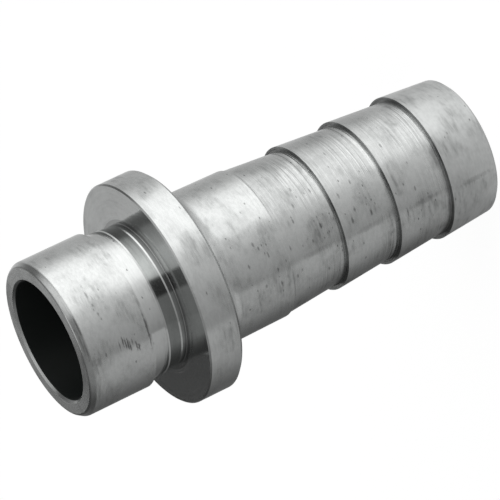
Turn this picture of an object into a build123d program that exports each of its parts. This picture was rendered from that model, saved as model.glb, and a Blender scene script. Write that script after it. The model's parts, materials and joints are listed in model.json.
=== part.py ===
"""Hose barb tail with a collar: one turned piece, standing on its hose end, nose up.

Units are millimetres. +Z runs along the axis from the hose end to the nose, and the
origin is the centre of the hose end face.
"""
import os

from build123d import *

os.makedirs("parts", exist_ok=True)

# Bore, straight through
bore_diameter = 21.5
bore_mouth_chamfer = 0.45       # edge break at both mouths

# Barbed tail, from the hose end up: each barb is widest at its step and tapers to the next
tail_wall = 1.75                # round the bore, at the foot of each barb
barb_step = 0.8                 # from the foot of one barb out to the edge of the next
tip_length = 10.0               # lowest barb, from the hose end to its step
barb_pitch = 10.9               # from one step to the next
full_barbs = 3                  # barbs above the lowest one
tip_chamfer = 0.5               # outer edge of the hose end

# Shank between the barbs and the collar, with a slight taper
shank_length = 14.7
shank_root_wall = 3.0           # at the collar
shank_end_wall = 2.8            # at the first barb
shank_edge_chamfer = 0.2        # over the first barb
neck_radius = 4.0               # fillet up to the back of the collar

# Collar
collar_diameter = 40.0
collar_thickness = 6.5
collar_front_chamfer = 0.25
collar_back_chamfer = 0.5

# Groove between the collar and the nose
groove_depth = 0.9              # below the nose, on the radius
groove_floor_length = 6.3       # straight floor, from the fillet to the shoulder
groove_shoulder_length = 0.2    # lean of the shoulder between the floor and the nose
face_fillet_radius = 0.3        # between the floor and the front face of the collar

# Nose spigot
nose_wall = 3.25
nose_length = 12.4              # from the shoulder to the front face
nose_chamfer_length = 1.0       # along the axis
nose_chamfer_depth = 0.65       # on the radius

# Radii and heights that follow from the sizes above
bore_radius = bore_diameter / 2
foot_radius = bore_radius + tail_wall
crest_radius = foot_radius + barb_step
shank_root_radius = bore_radius + shank_root_wall
shank_end_radius = bore_radius + shank_end_wall
collar_radius = collar_diameter / 2
nose_radius = bore_radius + nose_wall
groove_radius = nose_radius - groove_depth

shank_start = tip_length + full_barbs * barb_pitch
collar_back = shank_start + shank_length
collar_front = collar_back + collar_thickness
groove_shoulder_start = collar_front + face_fillet_radius + groove_floor_length
nose_start = groove_shoulder_start + groove_shoulder_length
nose_face = nose_start + nose_length

# A round or chamfer never takes more than this share of the wall that it stands against
fillet_share = 0.8


def limited(radius, *walls):
    """The radius, or as much of it as the shortest wall beside it has room for."""
    return min(radius, *(fillet_share * abs(wall) for wall in walls))


def profile_corner(radius, height):
    """The corner of the profile being drawn that lies at a radius and a height."""
    return section.vertices().sort_by_distance(Vector(radius, height))[0]


step_heights = [tip_length + barb * barb_pitch for barb in range(full_barbs)]
barb_outline = []
for step_height in step_heights:
    barb_outline += [(crest_radius, step_height), (foot_radius, step_height)]

# Half section, from the bore at the hose end round the outside to the bore at the nose
outline = [
    (bore_radius, 0),
    (foot_radius, 0),
    *barb_outline,
    (crest_radius, shank_start),
    (shank_end_radius, shank_start),
    (shank_root_radius, collar_back),
    (collar_radius, collar_back),
    (collar_radius, collar_front),
    (groove_radius, collar_front),
    (groove_radius, groove_shoulder_start),
    (nose_radius, nose_start),
    (nose_radius, nose_face - nose_chamfer_length),
    (nose_radius - nose_chamfer_depth, nose_face),
    (bore_radius, nose_face),
]

with BuildPart() as hose_tail:
    with BuildSketch(Plane.XZ) as section:
        with BuildLine():
            Polyline(*outline, close=True)
        make_face()

        # Inside corners
        neck_walls = (collar_radius - shank_root_radius - collar_back_chamfer, shank_length)
        fillet(profile_corner(shank_root_radius, collar_back), limited(neck_radius, *neck_walls))
        face_height = collar_radius - groove_radius - collar_front_chamfer
        fillet(profile_corner(groove_radius, collar_front), limited(face_fillet_radius, face_height))

        # Outside edges
        shank_step = shank_end_radius - crest_radius
        chamfer(profile_corner(shank_end_radius, shank_start), limited(shank_edge_chamfer, shank_step))
        chamfer(profile_corner(collar_radius, collar_back), collar_back_chamfer)
        chamfer(profile_corner(collar_radius, collar_front), collar_front_chamfer)
        chamfer(profile_corner(foot_radius, 0), tip_chamfer)
        chamfer(profile_corner(bore_radius, 0), bore_mouth_chamfer)
        chamfer(profile_corner(bore_radius, nose_face), bore_mouth_chamfer)
    revolve(axis=Axis.Z)

hose_tail.part.label = "hose_tail"
export_step(hose_tail.part, "parts/hose_tail.step")
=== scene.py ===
"""Turned steel hose tail: the finished piece, its stage and its camera.

Sizes are in metres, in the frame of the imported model: +Z runs along the axis from the hose
end, which stands on the floor, to the nose. The patterns of the steel are worked out in
millimetres, and in degrees round the axis from the camera's side towards the left of the part.
"""
import json
from functools import partial
from math import atan2, cos, hypot, pi, radians, sin, tau

import bmesh
import bpy
from bpy.props import (FloatProperty, FloatVectorProperty, IntProperty, PointerProperty,
                       StringProperty)
from bpy.types import Operator, Panel, PropertyGroup
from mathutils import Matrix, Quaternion, Vector


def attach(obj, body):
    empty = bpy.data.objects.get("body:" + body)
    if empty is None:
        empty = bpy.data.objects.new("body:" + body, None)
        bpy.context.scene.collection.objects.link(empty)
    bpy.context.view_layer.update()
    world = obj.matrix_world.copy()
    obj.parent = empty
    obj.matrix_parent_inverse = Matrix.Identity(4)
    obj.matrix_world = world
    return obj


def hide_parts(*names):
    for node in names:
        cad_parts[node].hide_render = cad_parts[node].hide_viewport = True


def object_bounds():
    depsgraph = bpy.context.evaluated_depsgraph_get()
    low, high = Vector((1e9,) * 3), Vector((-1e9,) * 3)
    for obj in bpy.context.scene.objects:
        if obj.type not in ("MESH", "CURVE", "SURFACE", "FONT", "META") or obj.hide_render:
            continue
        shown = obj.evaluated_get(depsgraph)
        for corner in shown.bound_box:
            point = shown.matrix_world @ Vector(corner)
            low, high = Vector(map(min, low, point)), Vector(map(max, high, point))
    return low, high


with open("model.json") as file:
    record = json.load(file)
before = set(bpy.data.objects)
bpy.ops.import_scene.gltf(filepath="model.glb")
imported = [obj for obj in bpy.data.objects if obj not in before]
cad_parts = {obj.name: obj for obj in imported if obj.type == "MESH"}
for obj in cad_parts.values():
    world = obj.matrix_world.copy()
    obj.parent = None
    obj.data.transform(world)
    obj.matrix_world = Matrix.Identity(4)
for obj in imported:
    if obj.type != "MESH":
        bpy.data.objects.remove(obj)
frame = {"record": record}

bl_info = {
    "name": "Hose barb tail",
    "version": (1, 0, 0),
    "blender": (4, 5, 0),
    "location": "View3D > Sidebar > Hose Tail",
    "description": "Turns a steel hose tail with a collar and sets its stage",
    "category": "Add Mesh",
}

MM = 0.001
MEAN_RADIUS = 14            # millimetres, by which a length round the axis is turned into an angle
SAME_POINT = 1e-7           # metres within which two points of the spun shape are one
SAME_RING = 1e-6            # metres within which a point lies on a ring of the half section
SHARP_ANGLE = radians(3.5)  # an edge that turns further stays sharp
CAD_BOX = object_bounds()
MOUNTS = {mount["name"]: mount for mount in frame["record"]["mounts"]}


def mount_radius(name):
    """Radius in metres that the model's mount states."""
    return MOUNTS[name]["dims"]["r_mm"] * MM


def mount_height(name):
    """Height in metres at which the model's mount lies."""
    return MOUNTS[name]["pos_m"][2]


def length_prop(name, description, default):
    """A length that the user can set, in metres."""
    return FloatProperty(name=name, description=description, default=default, unit="LENGTH",
                         precision=5)


def color_prop(name, description, default):
    """A colour that the user can set, as an sRGB hex value."""
    return StringProperty(name=name, description=description, default=default)


def share_prop(name, description, default):
    """A share from 0 to 1 that the user can set."""
    return FloatProperty(name=name, description=description, default=default, min=0, max=1,
                         subtype="FACTOR")


class HoseTailSizes(PropertyGroup):
    """Sizes of the turned piece."""

    bore_radius: length_prop("Bore radius", "Inner wall", mount_radius("bore"))
    nose_radius: length_prop("Nose radius", "Outside of the nose", mount_radius("nose_spigot"))
    nose_face: length_prop("Nose face", "Height of the nose's face", CAD_BOX[1][2])
    nose_length: length_prop("Nose length", "From the shoulder to the face", 12.4 * MM)
    nose_chamfer_length: length_prop("Nose chamfer length", "Along the axis", 1.0 * MM)
    nose_chamfer_depth: length_prop("Nose chamfer depth", "On the radius", 0.65 * MM)
    nose_edge: length_prop("Nose edge", "Round of the nose chamfer's edges", 0.25 * MM)
    shoulder_length: length_prop("Shoulder length", "Lean of the shoulder under the nose", 0.2 * MM)
    shoulder_depth: length_prop("Shoulder depth", "Of the shoulder, on the radius", 0.75 * MM)
    upper_floor_length: length_prop("Upper floor length", "From the shoulder to the upper line",
                                    3.05 * MM)
    lower_floor_height: length_prop("Lower floor height", "From the collar to the lower line",
                                    1.05 * MM)
    groove_depth: length_prop("Groove depth", "Below the nose, on the radius", 0.9 * MM)
    undercut: length_prop("Undercut", "Of the lower floor, by the collar", 0.2 * MM)
    tool_line: length_prop("Tool line", "Width of the fine ridge that a tool left", 0.3 * MM)
    face_fillet: length_prop("Face fillet", "Round between groove and collar face", 0.15 * MM)
    collar_radius: length_prop("Collar radius", "Outside of the collar", CAD_BOX[1][0])
    collar_front: length_prop("Collar front", "Height of the front face",
                              mount_height("collar_front"))
    collar_back: length_prop("Collar back", "Height of the back face", mount_height("collar_back"))
    collar_front_edge: length_prop("Front edge", "Chamfer of the front edge", 0.25 * MM)
    collar_back_edge: length_prop("Back edge", "Chamfer of the back edge", 0.5 * MM)
    neck_fillet: length_prop("Neck fillet", "Round between shank and collar", 4.0 * MM)
    shank_root_wall: length_prop("Shank wall at the collar", "Outside the bore", 3.0 * MM)
    shank_end_wall: length_prop("Shank wall at the barbs", "Outside the bore", 2.8 * MM)
    shank_edge: length_prop("Shank edge", "Chamfer over the first barb", 0.2 * MM)
    tail_wall: length_prop("Tail wall", "Outside the bore, at a barb's foot", 1.75 * MM)
    barb_step: length_prop("Barb step", "Depth of a step, on the radius", 0.8 * MM)
    barb_root: length_prop("Barb root", "Round at the foot of a step", 0.08 * MM)
    foot_land: length_prop("Foot land", "Straight run above a step, before the taper", 1.1 * MM)
    tip_length: length_prop("Tip length", "From the hose end to the lowest step", 10.0 * MM)
    barb_pitch: length_prop("Barb pitch", "From one step to the next", 10.9 * MM)
    full_barbs: IntProperty(name="Full barbs", description="Barbs above the lowest one", default=3,
                            min=1)
    tip_edge: length_prop("Tip edge", "Chamfer of the hose end", 0.5 * MM)
    mouth_edge: length_prop("Mouth edge", "Chamfer of both bore mouths", 0.45 * MM)
    around: IntProperty(name="Around", description="Faces round the axis", default=240, min=48)

    @property
    def foot(self):
        """Outer radius above a step."""
        return self.bore_radius + self.tail_wall

    @property
    def crest(self):
        """Outer radius just below a step."""
        return self.foot + self.barb_step

    @property
    def steps(self):
        """Height of each step with a barb above it."""
        return [self.tip_length + barb * self.barb_pitch for barb in range(self.full_barbs)]

    @property
    def shank_start(self):
        """Height at which the barbs end."""
        return self.tip_length + self.full_barbs * self.barb_pitch

    @property
    def groove(self):
        """Radius of the groove's upper floor."""
        return self.nose_radius - self.groove_depth

    @property
    def nose_start(self):
        """Height at which the nose begins."""
        return self.nose_face - self.nose_length


class TurnedSteelLook(PropertyGroup):
    """Finish of the turned steel."""

    metal: color_prop("Metal", "Clean turned steel", "#D9DBDA")
    film: color_prop("Film", "Thin grey film of handling", "#A7A9A8")
    # Colour of the brighter patch on the neck below the collar
    lightened: color_prop("Rubbed", "Patch rubbed bright", "#F4F6F5")
    # Also the colour of the painted shade at the steps, by the collar and along the barbs
    pit: color_prop("Pit", "Bottom of a pit or scratch", "#4A4B4B")
    # Painted shade: the bore is painted dark and matt, for the shade inside the tube
    scale: color_prop("Scale", "Dark matt wall of the drilled bore", "#1B211F")
    roughness: share_prop("Roughness", "Satin of the turned skin", 0.23)
    cut_roughness: share_prop("Cut roughness", "Bright cut of the groove and collar face", 0.08)
    film_roughness: share_prop("Film roughness", "Added where the film is thick", 0.12)
    bore_shade_roughness: share_prop("Scale roughness", "Added in the bore", 0.5)
    tip_roughness: share_prop("Tip roughness", "Added towards the hose end", 0.08)
    grain: share_prop("Grain", "How far the tool rings draw the light out", 0.75)
    ring_spacing: length_prop("Ring spacing", "Between two tool rings", 0.6 * MM)
    ring_length: length_prop("Ring length", "Over which a tool ring changes, round the axis",
                             26 * MM)
    ring_depth: length_prop("Ring depth", "Depth of a tool ring", 0.03 * MM)
    streak_width: length_prop("Streak width", "Width of a rubbed streak, along the axis", 0.7 * MM)
    streak_length: length_prop("Streak length", "Length of a rubbed streak, round the axis",
                               4.0 * MM)
    cloud_size: length_prop("Cloud size", "Size of the soft clouds of film", 6.0 * MM)
    mottle_width: length_prop("Mottle width", "Size of the fine mottle, along the axis", 0.45 * MM)
    mottle_length: length_prop("Mottle length", "Size of the fine mottle, round the axis", 0.9 * MM)
    mottle: share_prop("Mottle", "Film in the fine mottle", 0.15)
    smudge_width: length_prop("Smudge width", "Size of a smudge, along the axis", 0.8 * MM)
    smudge_length: length_prop("Smudge length", "Size of a smudge, round the axis", 1.8 * MM)
    smudge: share_prop("Smudge", "Film in the smudges", 0.25)
    pit_width: length_prop("Pit width", "Cell of a pit, along the axis", 0.4 * MM)
    pit_length: length_prop("Pit length", "Cell of a pit, round the axis", 0.9 * MM)
    # Painted shade: how dark the root of each step and the corner by the collar are painted
    painted_shade: share_prop("Dirt", "Dark of the dirt at the steps and the collar", 0.68)
    # It also sets how far the painted shade and the painted lines along the barbs darken
    darkness: share_prop("Darkness", "How far pits, marks and dirt turn to the colour of a pit",
                         0.85)
    # How far the brighter patch on the neck below the collar is lightened
    rub: share_prop("Rub", "How far the rubbed patch turns to its bright colour", 0.6)


class StageSetup(PropertyGroup):
    """Camera, floor and light."""

    aim: FloatVectorProperty(name="Aim", description="Point that the camera looks at",
                             default=(-0.0008, 0, 0.0434), subtype="XYZ", unit="LENGTH")
    distance: length_prop("Distance", "From the camera to the aim", 0.6363)
    elevation: FloatProperty(name="Elevation", description="Camera above the horizon",
                             default=radians(22.36), subtype="ANGLE")
    roll: FloatProperty(name="Roll", description="Camera turned about its line of sight",
                        default=radians(-115.6), subtype="ANGLE")
    lens: FloatProperty(name="Lens", description="Focal length in millimetres", default=270.9)
    floor_size: length_prop("Floor size", "Side of the floor", 6.0)
    floor: color_prop("Floor", "Pale floor", "#F4F4F4")
    floor_glow: FloatProperty(name="Floor glow", description="White that the camera sees in it",
                              default=1.18, min=0)
    floor_glow_share: share_prop("Floor glow share", "The rest is paint, with the shadow",
                                 0.8)
    foot_mirror: share_prop("Foot mirror", "How much of the floor the steel mirrors round its foot",
                            0.55)


def linear(hex_color):
    """An sRGB hex colour as linear RGBA."""
    channels = [int(hex_color[i:i + 2], 16) / 255 for i in (1, 3, 5)]
    return (*(c / 12.92 if c <= 0.04045 else ((c + 0.055) / 1.055) ** 2.4 for c in channels), 1)


def add_node(tree, kind, *values, named=None, **settings):
    """Adds a shader node, sets it up, and fills or links its inputs in order, or by name.

    A value is a constant, a socket, or a node, which stands for its first output in use.
    """
    node = tree.nodes.new("ShaderNode" + kind)
    for name, setting in settings.items():
        setattr(node, name, setting)
    in_use = [socket for socket in node.inputs if socket.enabled]
    by_name = [(node.inputs[name], value) for name, value in (named or {}).items()]
    for socket, value in [*zip(in_use, values), *by_name]:
        if isinstance(value, bpy.types.Node):
            value = next(output for output in value.outputs if output.enabled)
        if isinstance(value, bpy.types.NodeSocket):
            tree.links.new(value, socket)
        else:
            socket.default_value = value
    return node


def new_tree(owner):
    """The owner's node tree, emptied."""
    owner.use_nodes = True
    owner.node_tree.nodes.clear()
    return owner.node_tree


# For a Map Range node, whose inputs are the value, the two ends that it comes from and the two
# that it goes to, where those aren't 0 and 1
EASED = {"interpolation_type": "SMOOTHSTEP"}

# Where each pattern of the steel begins and is full, as values of its noise
RINGS = (0.36, 0.64)
STREAKS = (0.42, 0.72)
CLOUDS = (0.40, 0.66)
MOTTLE = (0.35, 0.68)
SMUDGES = (0.45, 0.66)
GATHERED = (0.42, 0.60)

# Marks of handling, and lines of painted shade: millimetres above the hose end, degrees round
# the axis, length round the axis and width along it in millimetres, and strength
MARKS_AND_SHADE_LINES = (
    # Nose: a chain of dots, a smudge at the rim, and a cluster of nicks over a long scratch
    (78.2, -24, 0.5, 0.22, 0.30), (78.3, -17, 0.7, 0.20, 0.45), (78.2, -9, 0.4, 0.24, 0.50),
    (78.0, -2, 0.4, 0.26, 0.55), (77.9, 2, 0.3, 0.20, 0.45), (79.3, 26, 0.5, 0.22, 0.55),
    (82.6, 12, 2.4, 0.20, 0.40), (82.3, 17, 2.0, 0.18, 0.40), (81.7, 29.5, 2.2, 0.50, 0.38),
    (80.8, 28.5, 1.1, 0.60, 0.38), (76.6, 24, 1.0, 0.15, 0.60), (75.9, 22, 1.0, 0.18, 0.85),
    (75.5, 24, 1.3, 0.18, 0.90), (75.1, 26, 1.5, 0.18, 0.90), (74.8, 28, 1.1, 0.18, 0.85),
    (74.3, 25, 0.8, 0.16, 0.60), (73.7, 29, 1.0, 0.20, 0.85), (73.3, 31, 0.8, 0.25, 0.85),
    (71.1, 22, 4.5, 0.20, 0.75),
    # Shank
    (50.3, 14, 0.5, 0.25, 0.65), (48.2, 1, 0.6, 0.25, 0.60), (47.5, 5, 0.5, 0.22, 0.60),
    (46.3, 12, 0.6, 0.22, 0.60), (48.2, 33, 0.4, 0.25, 0.55), (45.4, 25, 0.5, 0.25, 0.60),
    (45.3, 36, 0.5, 0.22, 0.60),
    # Barbs
    (42.0, 15, 0.5, 0.22, 0.60), (41.9, 38, 0.5, 0.25, 0.60), (39.6, -2, 0.6, 0.22, 0.60),
    (38.2, -12, 0.6, 0.22, 0.55), (37.0, -25, 0.7, 0.22, 0.55), (37.5, 18, 0.5, 0.25, 0.60),
    (35.1, 10, 0.8, 0.35, 0.85), (35.4, 47, 0.5, 0.25, 0.55), (34.0, -18, 0.7, 0.20, 0.55),
    (30.2, -5, 0.7, 0.22, 0.55), (29.5, 17, 0.8, 0.28, 0.70), (28.4, 10, 0.6, 0.25, 0.60),
    (27.0, -10, 0.6, 0.20, 0.55), (25.6, 18, 0.8, 0.28, 0.70), (27.7, -40, 0.7, 0.20, 0.45),
    (28.1, 53, 0.4, 0.25, 0.55), (18.6, -25, 0.6, 0.20, 0.50), (19.1, 30, 1.2, 0.22, 0.60),
    (16.5, 15, 0.6, 0.22, 0.55), (15.8, 28, 0.8, 0.7, 0.45),
    # Long soft lines of painted shade along the barbs, at the edge of a reflection
    (37.0, 27, 0.7, 4.5, 0.24), (26.3, 27.5, 0.7, 4.5, 0.24), (15.2, 28, 0.7, 4.8, 0.30),
    (5.0, 29.5, 0.7, 4.5, 0.28),
)

# A brighter patch on the neck below the collar, stated like a mark
LIGHTENED_PATCH = (54.1, 40, 3.6, 0.8, 1.0)


class SteelPlace:
    """Where a point of the steel lies, in millimetres and degrees, and patterns that follow it."""

    def __init__(self, tree):
        self.add = add = partial(add_node, tree)
        self.point = add("VectorMath", add("TexCoord").outputs["Object"], 1 / MM, operation="SCALE")
        axes = add("SeparateXYZ", self.point).outputs
        self.height = axes["Z"]
        flat = add("CombineXYZ", axes["X"], axes["Y"])
        self.radius = add("VectorMath", flat, operation="LENGTH")
        self.side = add("SeparateXYZ", add("VectorMath", flat, operation="NORMALIZE")).outputs
        left = add("Math", axes["X"], -1.0, operation="MULTIPLY")
        front = add("Math", axes["Y"], -1.0, operation="MULTIPLY")
        self.turn = add("Math", add("Math", left, front, operation="ARCTAN2"), operation="DEGREES")

    def ring_noise(self, width, arc, detail):
        """Noise that is width metres wide along the profile and arc metres long round the axis."""
        width /= MM
        spread = MEAN_RADIUS / (arc / MM)
        along = self.add("CombineXYZ",
                         self.add("Math", self.height, width, operation="DIVIDE"),
                         self.add("Math", self.radius, width, operation="DIVIDE"),
                         self.add("Math", self.side["X"], spread, operation="MULTIPLY"))
        return self.add("TexNoise", named={
            "Vector": along, "W": self.add("Math", self.side["Y"], spread, operation="MULTIPLY"),
            "Scale": 1.0, "Detail": detail, "Roughness": 0.6}, noise_dimensions="4D")

    def spot(self, mark, ragged):
        """A mark's strength inside it, eased to 0 over its ragged edge."""
        height, turn, arc, width, strength = mark
        full, gone = 0.3, 1.1                   # distances from its middle, where 1 is its size
        along = self.add("Math", self.add("Math", self.height, height, operation="SUBTRACT"), width,
                         operation="DIVIDE")
        around = self.add("Math", self.add("Math", self.turn, turn, operation="SUBTRACT"),
                          radians(MEAN_RADIUS) / arc, operation="MULTIPLY")
        off = self.add("VectorMath", self.add("CombineXYZ", along, around), operation="LENGTH")
        return self.add("MapRange", self.add("Math", off, ragged, operation="ADD"), full, gone,
                        strength, 0.0, **EASED)


class SteelZones:
    """The groove, and the stretch with barbs, as masks from 0 to 1."""

    def __init__(self, place, sizes):
        add = place.add
        soft = 0.1                              # millimetres over which a zone begins
        fade = 2.5                              # millimetres over which the barbs' zone ends
        front = sizes.collar_front / MM
        nose = sizes.nose_start / MM
        self.in_groove = add("Math",
                             add("MapRange", place.height, front - soft / 2, front, **EASED),
                             add("MapRange", place.height, nose - soft, nose + soft, 1.0, 0.0,
                                 **EASED),
                             operation="MULTIPLY")
        tip = sizes.tip_length / MM
        shank = sizes.shank_start / MM
        self.barbed = add("Math",
                          add("MapRange", place.height, tip - soft, tip, **EASED),
                          add("MapRange", place.height, shank, shank + fade, 1.0, 0.0, **EASED),
                          operation="MULTIPLY")
        # Share of the way from one step up to the next
        self.climb = add("Math", add("Math", add("Math", place.height, tip, operation="SUBTRACT"),
                                     sizes.barb_pitch / MM, operation="DIVIDE"), operation="FRACT")


def tool_rings(place, zones, look, sizes):
    """Tool rings: deepest where a barb was cut in from its root, and clear in the groove."""
    add = place.add
    skin = 0.08                                 # share of the ring depth that shows all over
    noise = place.ring_noise(look.ring_spacing, look.ring_length, 2.0)
    rings = add("MapRange", noise, *RINGS, **EASED)
    root = add("Math", add("MapRange", zones.climb, 0.2, 0.75, 1.0, 0.25, **EASED), zones.barbed,
               operation="MULTIPLY")
    # In the groove they are clearer on its floor than on the collar's face outside it
    nose_radius = sizes.nose_radius / MM
    fading = add("MapRange", place.radius, nose_radius, nose_radius + 3, 0.15, 0.03, **EASED)
    cut = add("Math",
              add("Math", root, 1 - skin, skin, operation="MULTIPLY_ADD"),
              add("Math", zones.in_groove, fading, operation="MULTIPLY"),
              operation="MAXIMUM")
    bump = add("Bump", named={"Height": add("Math", rings, cut, operation="MULTIPLY"),
                              "Distance": look.ring_depth, "Strength": 1.0})
    return rings, bump


def handling(place, look):
    """The grey film of handling, and the pits, gathered where hands and tools rub."""
    add = place.add
    # Film lies in soft clouds, thicker in streaks round the axis, with a fine mottle all over
    noise = place.ring_noise(look.streak_width, look.streak_length, 3.0)
    streaks = add("MapRange", noise, *STREAKS, **EASED)
    clouds = add("TexNoise", noise_dimensions="3D", named={
        "Vector": place.point, "Scale": MM / look.cloud_size, "Detail": 3.0})
    patches = add("MapRange", clouds, *CLOUDS, **EASED)
    film = add("Math", add("Math", streaks, 0.6, 0.25, operation="MULTIPLY_ADD"), patches,
               operation="MULTIPLY")
    noise = place.ring_noise(look.mottle_width, look.mottle_length, 1.0)
    mottle = add("MapRange", noise, *MOTTLE, **EASED)
    film = add("Math", mottle, look.mottle, film, operation="MULTIPLY_ADD", use_clamp=True)

    # Most handling is on the front of the part, in the middle of its height
    front = add("Math",
                add("MapRange", place.turn, -30, 5, **EASED),
                add("MapRange", place.turn, 35, 60, 1.0, 0.0, **EASED),
                operation="MULTIPLY")
    middle = add("Math",
                 add("MapRange", place.height, 8.0, 14.0, 0.2, 1.0, **EASED),
                 add("MapRange", place.height, 54.0, 60.0, 1.0, 0.3, **EASED),
                 operation="MULTIPLY")
    gathered = add("Math",
                   add("MapRange", clouds, *GATHERED, **EASED),
                   add("Math", front, 0.8, 0.2, operation="MULTIPLY_ADD"),
                   operation="MULTIPLY")
    gathered = add("Math", gathered, middle, operation="MULTIPLY")
    noise = place.ring_noise(look.smudge_width, look.smudge_length, 3.0)
    smudges = add("Math", add("MapRange", noise, *SMUDGES, **EASED), gathered, operation="MULTIPLY")
    film = add("Math", smudges, look.smudge, film, operation="MULTIPLY_ADD", use_clamp=True)

    # A pit is a small dark dash in the middle of a cell, in a few of the cells
    no_pit = 0.992                              # share of the cells with no pit
    more_pits = 0.13                            # further share that has one where they gather
    spread = MEAN_RADIUS / (look.pit_length / MM)
    cells = add("TexVoronoi", named={"Scale": 1.0, "Randomness": 1.0, "Vector": add(
        "CombineXYZ",
        add("Math", place.height, look.pit_width / MM, operation="DIVIDE"),
        add("Math", place.side["X"], spread, operation="MULTIPLY"),
        add("Math", place.side["Y"], spread, operation="MULTIPLY"))}).outputs
    draw = add("SeparateColor", cells["Color"]).outputs
    pitted = add("Math", draw["Red"],
                 add("Math", gathered, -more_pits, no_pit, operation="MULTIPLY_ADD"),
                 operation="GREATER_THAN")
    dot = add("Math", 1.0, add("MapRange", cells["Distance"], 0.12, 0.45, **EASED),
              operation="SUBTRACT")
    pits = add("Math",
               add("Math", dot, pitted, operation="MULTIPLY"),
               add("Math", draw["Green"], 0.5, 0.4, operation="MULTIPLY_ADD"),
               operation="MULTIPLY")
    return film, pits


def painted_step_and_corner_shade(place, zones, sizes):
    """Painted shade in the root of each step, and in the corner by the collar."""
    add = place.add
    # Millimetres to the nearest step, along the axis
    half_way = add("Math", add("Math", zones.climb, 0.5, operation="ADD"), operation="FRACT")
    off_step = add("Math", add("Math", half_way, 0.5, operation="SUBTRACT"), operation="ABSOLUTE")
    off_step = add("Math", off_step, sizes.barb_pitch / MM, operation="MULTIPLY")
    # Painted shade at the root of each step, where the crest outside it stays unpainted
    at_step = add("Math", add("MapRange", off_step, 0.02, 0.07, 0.8, 0.0, **EASED), zones.barbed,
                  operation="MULTIPLY")
    at_step = add("Math", at_step,
                  add("Math", place.radius, sizes.crest / MM - 0.06, operation="LESS_THAN"),
                  operation="MULTIPLY")

    # Painted shade in the corner of the groove by the collar's face
    front = sizes.collar_front / MM
    corner = add("Math",
                 add("MapRange", place.height, front - 0.02, front, **EASED),
                 add("MapRange", place.height, front + 0.2, front + 0.95, 0.6, 0.0, **EASED),
                 operation="MULTIPLY")
    corner = add("Math", corner,
                 add("Math", place.radius, sizes.nose_radius / MM - 0.3, operation="LESS_THAN"),
                 operation="MULTIPLY")
    return add("Math", at_step, corner, operation="MAXIMUM")


def turned_steel(look, sizes):
    """Turned stainless steel: satin, its light drawn out along the axis by fine tool rings."""
    material = bpy.data.materials.new("turned_stainless_steel")
    tree = new_tree(material)
    place = SteelPlace(tree)
    add = place.add
    zones = SteelZones(place, sizes)
    rings, bump = tool_rings(place, zones, look, sizes)
    film, pits = handling(place, look)
    # The groove and the collar's face are a fresher cut, whose rings show in the film
    film = add("Math", film, add("Math", zones.in_groove, -0.6, 1.0, operation="MULTIPLY_ADD"),
               operation="MULTIPLY")
    ring_film = add("Math", rings, zones.in_groove, operation="MULTIPLY")
    film = add("Math", ring_film, 0.1, film, operation="MULTIPLY_ADD", use_clamp=True)

    # A fine noise moves the edges of the marks in and out
    fine = place.ring_noise(0.25 * MM, 0.6 * MM, 2.0)
    ragged = add("Math", fine, 1.6, -0.8, operation="MULTIPLY_ADD")
    marks_and_shade_lines = place.spot(MARKS_AND_SHADE_LINES[0], ragged)
    for mark in MARKS_AND_SHADE_LINES[1:]:
        marks_and_shade_lines = add("Math", marks_and_shade_lines, place.spot(mark, ragged), operation="MAXIMUM")
    # They lie on the outside only
    marks_and_shade_lines = add("Math", marks_and_shade_lines,
                add("Math", place.radius, sizes.foot / MM - 0.2, operation="GREATER_THAN"),
                operation="MULTIPLY")
    # Dark: pits and marks of handling, and painted shade at the steps, by the collar and in lines
    # along the barbs
    dark = add("Math",
               add("Math", pits, marks_and_shade_lines, operation="MAXIMUM"),
               add("Math", painted_step_and_corner_shade(place, zones, sizes), look.painted_shade, operation="MULTIPLY"),
               operation="MAXIMUM")
    lightened = place.spot(LIGHTENED_PATCH, ragged)
    in_bore = add("Math", place.radius, (sizes.bore_radius + 0.2 * sizes.mouth_edge) / MM,
                  operation="LESS_THAN")

    color = add("Mix", film, linear(look.metal), linear(look.film), data_type="RGBA")
    dark = add("Math", dark, look.darkness, operation="MULTIPLY")
    color = add("Mix", dark, color, linear(look.pit), data_type="RGBA")
    lightened = add("Math", lightened, look.rub, operation="MULTIPLY")
    color = add("Mix", lightened, color, linear(look.lightened), data_type="RGBA")
    # Painted shade: the bore turns to its dark colour
    color = add("Mix", in_bore, color, linear(look.scale), data_type="RGBA")

    rough = add("Mix", zones.in_groove, look.roughness, look.cut_roughness, data_type="FLOAT")
    rough = add("Math", film, look.film_roughness, rough, operation="MULTIPLY_ADD")
    rough = add("Math", rough,
                add("MapRange", place.height, 4.0, 18.0, look.tip_roughness, 0.0, **EASED),
                operation="ADD")
    rough = add("Math", in_bore, look.bore_shade_roughness, rough, operation="MULTIPLY_ADD")

    # The bore, painted dark as the shade inside the tube, is no bare metal
    steel = add("BsdfPrincipled", named={
        "Base Color": color,
        "Metallic": add("Math", 1.0, in_bore, operation="SUBTRACT"),
        "Roughness": rough,
        "Anisotropic": look.grain,
        "Anisotropic Rotation": 0.25,
        "Normal": bump,
        "Tangent": add("Tangent", direction_type="UV_MAP", uv_map="UVMap"),
    })
    add("OutputMaterial", steel)
    return material


def tool_line(radius, height, width):
    """A fine ridge across a straight run of the half section, with a long upper flank."""
    return [(radius, height - 0.5 * width), (radius + 0.2 * width, height - 0.4 * width),
            (radius, height + 0.5 * width)]


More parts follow.
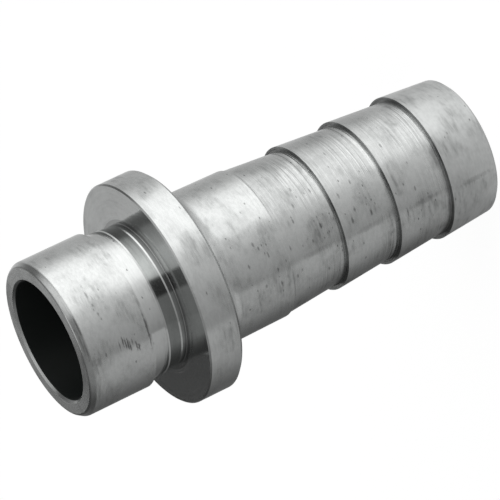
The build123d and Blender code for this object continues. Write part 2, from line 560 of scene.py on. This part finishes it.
def outline(sizes):
    """Half section with sharp corners, from the bore at the hose end to the bore at the nose."""
    foot, crest, groove, line = sizes.foot, sizes.crest, sizes.groove, sizes.tool_line
    shoulder = sizes.nose_start - sizes.shoulder_length
    points = [(sizes.bore_radius, 0), (foot, 0)]
    for step in sizes.steps:
        points += [(crest, step), (foot, step), (foot, step + sizes.foot_land)]
    points += [
        (crest, sizes.shank_start),
        (sizes.bore_radius + sizes.shank_end_wall, sizes.shank_start),
        (sizes.bore_radius + sizes.shank_root_wall, sizes.collar_back),
        (sizes.collar_radius, sizes.collar_back),
        (sizes.collar_radius, sizes.collar_front),
        (groove - sizes.undercut, sizes.collar_front),
        *tool_line(groove - sizes.undercut, sizes.collar_front + sizes.lower_floor_height, line),
        *tool_line(groove, shoulder - sizes.upper_floor_length, line),
        (sizes.nose_radius - sizes.shoulder_depth, shoulder),
        (sizes.nose_radius, sizes.nose_start),
        (sizes.nose_radius, sizes.nose_face - sizes.nose_chamfer_length),
        (sizes.nose_radius - sizes.nose_chamfer_depth, sizes.nose_face),
        (sizes.bore_radius, sizes.nose_face),
    ]
    return points


def ring(bm, radius, height):
    """The edges of the turned shape that lie on one ring."""
    def on_ring(vert):
        return hypot(hypot(vert.co.x, vert.co.y) - radius, vert.co.z - height) < SAME_RING
    return [edge for edge in bm.edges if all(on_ring(vert) for vert in edge.verts)]


def round_ring(bm, point, size, segments):
    """Rounds one ring, or chamfers it where segments is 1."""
    bmesh.ops.bevel(bm, geom=ring(bm, *point), offset=size, offset_type="OFFSET", segments=segments,
                    profile=0.5, affect="EDGES", material=-1, clamp_overlap=True)


def unwrap_round(bm):
    """A UV map round the axis and along the profile, for the direction of the tool rings."""
    layer = bm.loops.layers.uv.new("UVMap")
    for face in bm.faces:
        middle = face.calc_center_median()
        turn = atan2(middle.y, middle.x)
        for loop in face.loops:
            place = loop.vert.co
            offset = (atan2(place.y, place.x) - turn + pi) % tau - pi
            radius = hypot(place.x, place.y)
            loop[layer].uv = ((turn + offset) / tau + 0.5, (place.z + 0.37 * radius) / (10 * MM))


def turn_body(sizes):
    """The whole piece, spun from its half section, with its corners rounded."""
    points = outline(sizes)
    bm = bmesh.new()
    verts = [bm.verts.new((radius, 0, height)) for radius, height in points]
    edges = [bm.edges.new((a, b)) for a, b in zip(verts, verts[1:] + verts[:1])]
    bmesh.ops.spin(bm, geom=verts + edges, cent=(0, 0, 0), axis=(0, 0, 1), angle=tau,
                   steps=sizes.around, use_merge=True, use_duplicate=False)
    bmesh.ops.remove_doubles(bm, verts=bm.verts, dist=SAME_POINT)

    bore, foot, face = sizes.bore_radius, sizes.foot, sizes.nose_face
    nose_rim = sizes.nose_radius - sizes.nose_chamfer_depth
    # Point of the half section, size of its round, and segments
    rounds = [((foot, step), sizes.barb_root, 4) for step in sizes.steps]
    rounds += [
        ((bore + sizes.shank_root_wall, sizes.collar_back), sizes.neck_fillet, 32),
        ((sizes.groove - sizes.undercut, sizes.collar_front), sizes.face_fillet, 16),
        ((sizes.nose_radius, face - sizes.nose_chamfer_length), sizes.nose_edge, 6),
        ((nose_rim, face), sizes.nose_edge, 6),
        ((bore + sizes.shank_end_wall, sizes.shank_start), sizes.shank_edge, 2),
        ((sizes.collar_radius, sizes.collar_back), sizes.collar_back_edge, 1),
        ((sizes.collar_radius, sizes.collar_front), sizes.collar_front_edge, 1),
        ((foot, 0), sizes.tip_edge, 1),
        ((bore, 0), sizes.mouth_edge, 1),
        ((bore, face), sizes.mouth_edge, 1),
    ]
    for point, size, segments in rounds:
        round_ring(bm, point, size, segments)
    bmesh.ops.recalc_face_normals(bm, faces=bm.faces)
    unwrap_round(bm)
    for face in bm.faces:
        face.smooth = True
    mesh = bpy.data.meshes.new("turned_hose_tail")
    bm.to_mesh(mesh)
    bm.free()
    mesh.set_sharp_from_angle(angle=SHARP_ANGLE)
    return mesh


class HOSETAIL_OT_turn_body(Operator):
    """Turn the hose tail and finish it in satin steel"""

    bl_idname = "hose_tail.turn_body"
    bl_label = "Turn hose tail"

    def execute(self, context):
        sizes = context.scene.hose_tail_sizes
        piece = bpy.data.objects.new("turned_hose_tail", turn_body(sizes))
        context.collection.objects.link(piece)
        piece.data.materials.append(turned_steel(context.scene.turned_steel_look, sizes))
        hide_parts("hose_tail")
        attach(piece, "root")
        return {"FINISHED"}


def pale_floor(stage):
    """Matt white floor: it shows only a soft shadow."""
    material = bpy.data.materials.new("matt_white_floor")
    add = partial(add_node, new_tree(material))
    white = (1, 1, 1, 1)
    paint = add("BsdfDiffuse", linear(stage.floor))
    glow = add("Emission", white, stage.floor_glow)
    rays = add("LightPath").outputs
    floor = add("MixShader", rays["Is Camera Ray"], paint,
                add("MixShader", stage.floor_glow_share, paint, glow))

    # The steel mirrors the floor only close round its foot, where painted light makes the floor
    # glow for it, brighter towards the right and the back. Further out it mirrors the studio.
    place = add("TexCoord").outputs["Object"]
    spread = add("VectorMath", place, operation="LENGTH")
    across = add("VectorMath", place, (0.87, -0.5, 0), operation="DOT_PRODUCT")
    painted_floor_light = add("Emission", white, add("MapRange", across, -20 * MM, 28 * MM, 0.42, 1.0, **EASED))
    near_foot = add("MapRange", spread, 17 * MM, 38 * MM, stage.foot_mirror, 0.0, **EASED)
    mirrored = add("MixShader", near_foot, add("BsdfTransparent"), painted_floor_light)
    add("OutputMaterial", add("MixShader", rays["Is Glossy Ray"], floor, mirrored))
    return material


# Tone of the studio all round, where 1 is white paper: degrees round the axis, then the tone
# well below the horizon, just below it, and about 15, 32 and 45 degrees above it
STUDIO_TONES = (
    (-180, 0.72, 0.98, 0.50, 0.42, 0.20),   # white wall behind
    (-140, 0.34, 0.50, 0.18, 0.17, 0.14),   # shaded corner
    (-120, 0.42, 0.58, 0.14, 0.12, 0.25),
    (-100, 0.55, 0.98, 0.26, 0.55, 0.50),
    (-80, 0.71, 1.44, 0.38, 0.92, 0.55),    # open window on the right
    (-60, 0.83, 1.54, 0.50, 1.15, 0.55),
    (-45, 0.81, 1.52, 0.62, 1.38, 0.52),
    (-19, 0.66, 0.95, 0.52, 0.80, 0.35),
    (-11, 0.60, 0.76, 0.10, 0.05, 0.30),    # dark gap round the camera
    (8, 0.52, 0.54, 0.08, 0.03, 0.25),
    (16, 0.49, 0.47, 0.22, 0.20, 0.24),     # grey wall on the left
    (50, 0.36, 0.32, 0.22, 0.20, 0.26),
    (56, 0.33, 0.29, 0.22, 0.20, 0.26),     # lighter board beside it
    (60, 0.46, 0.44, 0.25, 0.24, 0.27),
    (85, 0.41, 0.41, 0.26, 0.25, 0.28),
    (105, 0.32, 0.32, 0.16, 0.16, 0.20),
    (125, 0.18, 0.19, 0.07, 0.07, 0.13),    # unlit side
    (150, 0.11, 0.12, 0.05, 0.05, 0.10),
    (165, 0.12, 0.14, 0.06, 0.06, 0.12),
    (180, 0.72, 0.98, 0.06, 0.06, 0.18),
)


# Each further level takes over between two heights: sines of the angle above the horizon
LEVEL_CHANGES = ((2, -0.60, -0.42), (3, -0.02, 0.17), (4, 0.40, 0.50), (5, 0.56, 0.70))

# The ceiling: where it begins and is full, stated like that, and the tone that it adds
CEILING = (0.94, 0.99, 0.6)


def tone_round(add, share, level):
    """The studio's tone round the axis, at one level of the table."""
    brightest = max(row[level] for row in STUDIO_TONES)
    curve_node = add("FloatCurve", named={"Value": share})
    curve = curve_node.mapping.curves[0]
    for _ in STUDIO_TONES[2:]:
        curve.points.new(0.5, 0.5)
    for point, row in zip(curve.points, STUDIO_TONES):
        point.location = (row[0] / 360 + 0.5, row[level] / brightest)
        point.handle_type = "AUTO_CLAMPED"
    curve_node.mapping.update()
    return add("Math", curve_node, brightest, operation="MULTIPLY")


def studio_world():
    """A soft studio round the object: a bright side, a grey front, a shaded side and a ceiling."""
    world = bpy.data.worlds.new("soft_studio")
    add = partial(add_node, new_tree(world))
    axes = add("SeparateXYZ", add("TexCoord").outputs["Generated"]).outputs
    left = add("Math", axes["X"], -1.0, operation="MULTIPLY")
    front = add("Math", axes["Y"], -1.0, operation="MULTIPLY")
    turn = add("Math", left, front, operation="ARCTAN2")
    share = add("Math", turn, 1 / tau, 0.5, operation="MULTIPLY_ADD")
    tone = tone_round(add, share, 1)
    for level, low, high in LEVEL_CHANGES:
        above = add("MapRange", axes["Z"], low, high, **EASED)
        tone = add("Mix", above, tone, tone_round(add, share, level), data_type="FLOAT")
    begins, full, brightness = CEILING
    ceiling = add("MapRange", axes["Z"], begins, full, 0.0, brightness, **EASED)
    tone = add("Math", tone, ceiling, operation="ADD")
    # The camera itself sees plain white
    shown = add("Mix", add("LightPath").outputs["Is Camera Ray"], tone, 1.0, data_type="FLOAT")
    add("OutputWorld", add("Background", (1, 1, 1, 1), shown))
    return world


class HOSETAIL_OT_set_stage(Operator):
    """Set the floor, the studio light and the camera"""

    bl_idname = "hose_tail.set_stage"
    bl_label = "Set stage"

    def execute(self, context):
        stage = context.scene.hose_tail_stage
        bm = bmesh.new()
        bmesh.ops.create_grid(bm, x_segments=1, y_segments=1, size=stage.floor_size / 2)
        mesh = bpy.data.meshes.new("floor")
        bm.to_mesh(mesh)
        bm.free()
        floor = bpy.data.objects.new("floor", mesh)
        floor.data.materials.append(pale_floor(stage))
        context.collection.objects.link(floor)
        context.scene.world = studio_world()

        camera = bpy.data.objects.new("camera", bpy.data.cameras.new("camera"))
        camera.data.lens = stage.lens
        sight = Vector((0, cos(stage.elevation), -sin(stage.elevation)))
        camera.location = Vector(stage.aim) - sight * stage.distance
        upright = sight.to_track_quat("-Z", "Y")
        camera.rotation_mode = "QUATERNION"
        camera.rotation_quaternion = upright @ Quaternion((0, 0, 1), stage.roll)
        context.collection.objects.link(camera)
        context.scene.camera = camera
        context.scene.view_settings.view_transform = "Standard"
        return {"FINISHED"}


class HOSETAIL_PT_panel(Panel):
    """Sizes, finish and stage of the hose tail"""

    bl_label = "Hose Tail"
    bl_idname = "HOSETAIL_PT_panel"
    bl_space_type = "VIEW_3D"
    bl_region_type = "UI"
    bl_category = "Hose Tail"

    def draw(self, context):
        scene = context.scene
        for group in (scene.hose_tail_sizes, scene.turned_steel_look, scene.hose_tail_stage):
            box = self.layout.box()
            for name in group.__annotations__:
                box.prop(group, name)
        for step in STEPS:
            self.layout.operator(step.bl_idname)


STEPS = (HOSETAIL_OT_turn_body, HOSETAIL_OT_set_stage)
CLASSES = (HoseTailSizes, TurnedSteelLook, StageSetup, *STEPS, HOSETAIL_PT_panel)


def register():
    for cls in CLASSES:
        bpy.utils.register_class(cls)
    bpy.types.Scene.hose_tail_sizes = PointerProperty(type=HoseTailSizes)
    bpy.types.Scene.turned_steel_look = PointerProperty(type=TurnedSteelLook)
    bpy.types.Scene.hose_tail_stage = PointerProperty(type=StageSetup)


def unregister():
    del bpy.types.Scene.hose_tail_stage
    del bpy.types.Scene.turned_steel_look
    del bpy.types.Scene.hose_tail_sizes
    for cls in reversed(CLASSES):
        bpy.utils.unregister_class(cls)


def main():
    register()
    bpy.ops.hose_tail.turn_body()
    bpy.ops.hose_tail.set_stage()


if __name__ == "__main__":
    main()
